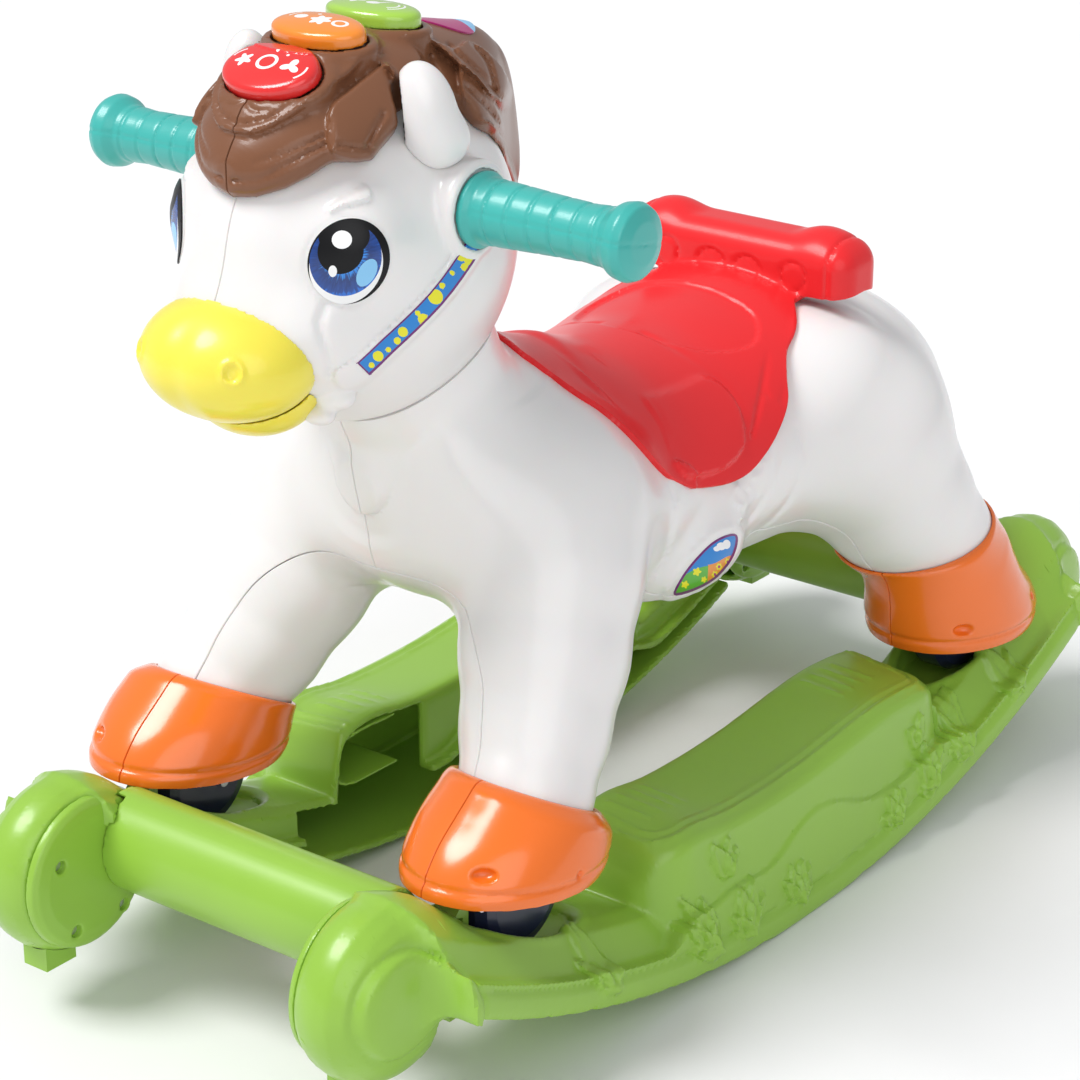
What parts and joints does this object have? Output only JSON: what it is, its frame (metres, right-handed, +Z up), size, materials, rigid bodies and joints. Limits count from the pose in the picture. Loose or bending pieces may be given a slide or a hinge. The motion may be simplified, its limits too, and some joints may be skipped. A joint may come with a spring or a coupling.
{
  "type": "rocking horse",
  "caption": "Toddler's moulded plastic pony on caster-like wheels that stands locked on a curved rocker base, with hand grips, saddle, footrests and press buttons in the mane.",
  "frame": {"origin": "on the floor at the middle of the rocker base, where the rocking arcs touch it", "axes": "the pony faces -Y, its left side is +X, +Z is up"},
  "size_m": [0.326, 0.684, 0.4943],
  "materials": {
    "green_plastic": "glossy leaf-green moulded plastic",
    "white_plastic": "glossy warm-white moulded plastic",
    "orange_plastic": "glossy orange moulded plastic",
    "red_plastic": "glossy red moulded plastic",
    "brown_plastic": "satin-gloss brown moulded plastic",
    "yellow_plastic": "satin yellow moulded plastic",
    "teal_plastic": "satin teal moulded grip",
    "wheel_plastic": "glossy blue-black wheel plastic",
    "red_button": "glossy translucent red cap",
    "orange_button": "glossy orange cap",
    "green_button": "glossy green cap",
    "eye_print": "glossy printed eye",
    "label_print": "printed glossy label",
    "dark_insert": "dark ear lining",
    "steel": "plain steel",
    "black_plastic": "black plastic",
    "plate_print": "glossy printed plate, magenta with a pale blue end",
    "board": "green circuit board",
    "cell": "plain battery wrap"
  },
  "bodies": {
    "rocker_base": {"rail_left": "green_plastic", "scroll_cover_front_left": "green_plastic", "scroll_cover_rear_left": "green_plastic", "rail_right": "green_plastic", "scroll_cover_front_right": "green_plastic", "scroll_cover_rear_right": "green_plastic", "front_cross_bar": "green_plastic", "rear_cross_bar": "green_plastic", "hoof_clips": "green_plastic", "stop_blocks": "green_plastic", "cover_screws": "steel"},
    "pony": {"hoof_screws": "steel", "wheel_axles": "steel", "handlebar_rod": "steel", "button_springs": "steel", "head_shell_left": "white_plastic", "ear_left": "white_plastic", "body_shell_left": "white_plastic", "eye_left": "eye_print", "bridle_label_left": "label_print", "badge_left": "label_print", "mane_left": "brown_plastic", "grip_left": "teal_plastic", "hoof_outer_front_left": "orange_plastic", "hoof_inner_front_left": "orange_plastic", "hoof_outer_rear_left": "orange_plastic", "hoof_inner_rear_left": "orange_plastic", "head_shell_right": "white_plastic", "ear_right": "white_plastic", "body_shell_right": "white_plastic", "eye_right": "eye_print", "bridle_label_right": "label_print", "badge_right": "label_print", "mane_right": "brown_plastic", "grip_right": "teal_plastic", "hoof_outer_front_right": "orange_plastic", "hoof_inner_front_right": "orange_plastic", "hoof_outer_rear_right": "orange_plastic", "hoof_inner_rear_right": "orange_plastic", "underbody": "white_plastic", "battery_door": "white_plastic", "ear_inserts": "dark_insert", "muzzle": "yellow_plastic", "lower_lip": "yellow_plastic", "saddle": "red_plastic", "mane_plate": "plate_print", "circuit_board": "board", "battery_box": "black_plastic", "speaker": "black_plastic", "button_switches": "black_plastic", "batteries": "cell"},
    "wheel_front_left": {"wheel_front_left": "wheel_plastic"},
    "wheel_rear_left": {"wheel_rear_left": "wheel_plastic"},
    "wheel_front_right": {"wheel_front_right": "wheel_plastic"},
    "wheel_rear_right": {"wheel_rear_right": "wheel_plastic"},
    "red_button": {"red_button": "red_button"},
    "orange_button": {"orange_button": "orange_button"},
    "green_button": {"green_button": "green_button"}
  },
  "joints": [
    {"name": "pony_lift", "type": "slide", "parent": "rocker_base", "child": "pony", "axis": [0, 0, 1], "range_m": [0, 0.12]},
    {"name": "red_button_press", "type": "slide", "parent": "pony", "child": "red_button", "axis": [0, 0.454, -0.891], "range_m": [0, 0.003], "stiffness_N_per_m": 250, "springref_m": -0.001},
    {"name": "orange_button_press", "type": "slide", "parent": "pony", "child": "orange_button", "axis": [0, 0.1392, -0.9903], "range_m": [0, 0.003], "stiffness_N_per_m": 250, "springref_m": -0.001},
    {"name": "green_button_press", "type": "slide", "parent": "pony", "child": "green_button", "axis": [0, -0.0523, -0.9986], "range_m": [0, 0.003], "stiffness_N_per_m": 250, "springref_m": -0.001},
    {"name": "wheel_front_left_spin", "type": "hinge", "parent": "pony", "child": "wheel_front_left", "pos_m": [0.103, -0.202, 0.086], "axis": [1, 0, 0], "continuous": true},
    {"name": "wheel_rear_left_spin", "type": "hinge", "parent": "pony", "child": "wheel_rear_left", "pos_m": [0.103, 0.214, 0.086], "axis": [1, 0, 0], "continuous": true},
    {"name": "wheel_front_right_spin", "type": "hinge", "parent": "pony", "child": "wheel_front_right", "pos_m": [-0.103, -0.202, 0.086], "axis": [1, 0, 0], "continuous": true},
    {"name": "wheel_rear_right_spin", "type": "hinge", "parent": "pony", "child": "wheel_rear_right", "pos_m": [-0.103, 0.214, 0.086], "axis": [1, 0, 0], "continuous": true}
  ]
}
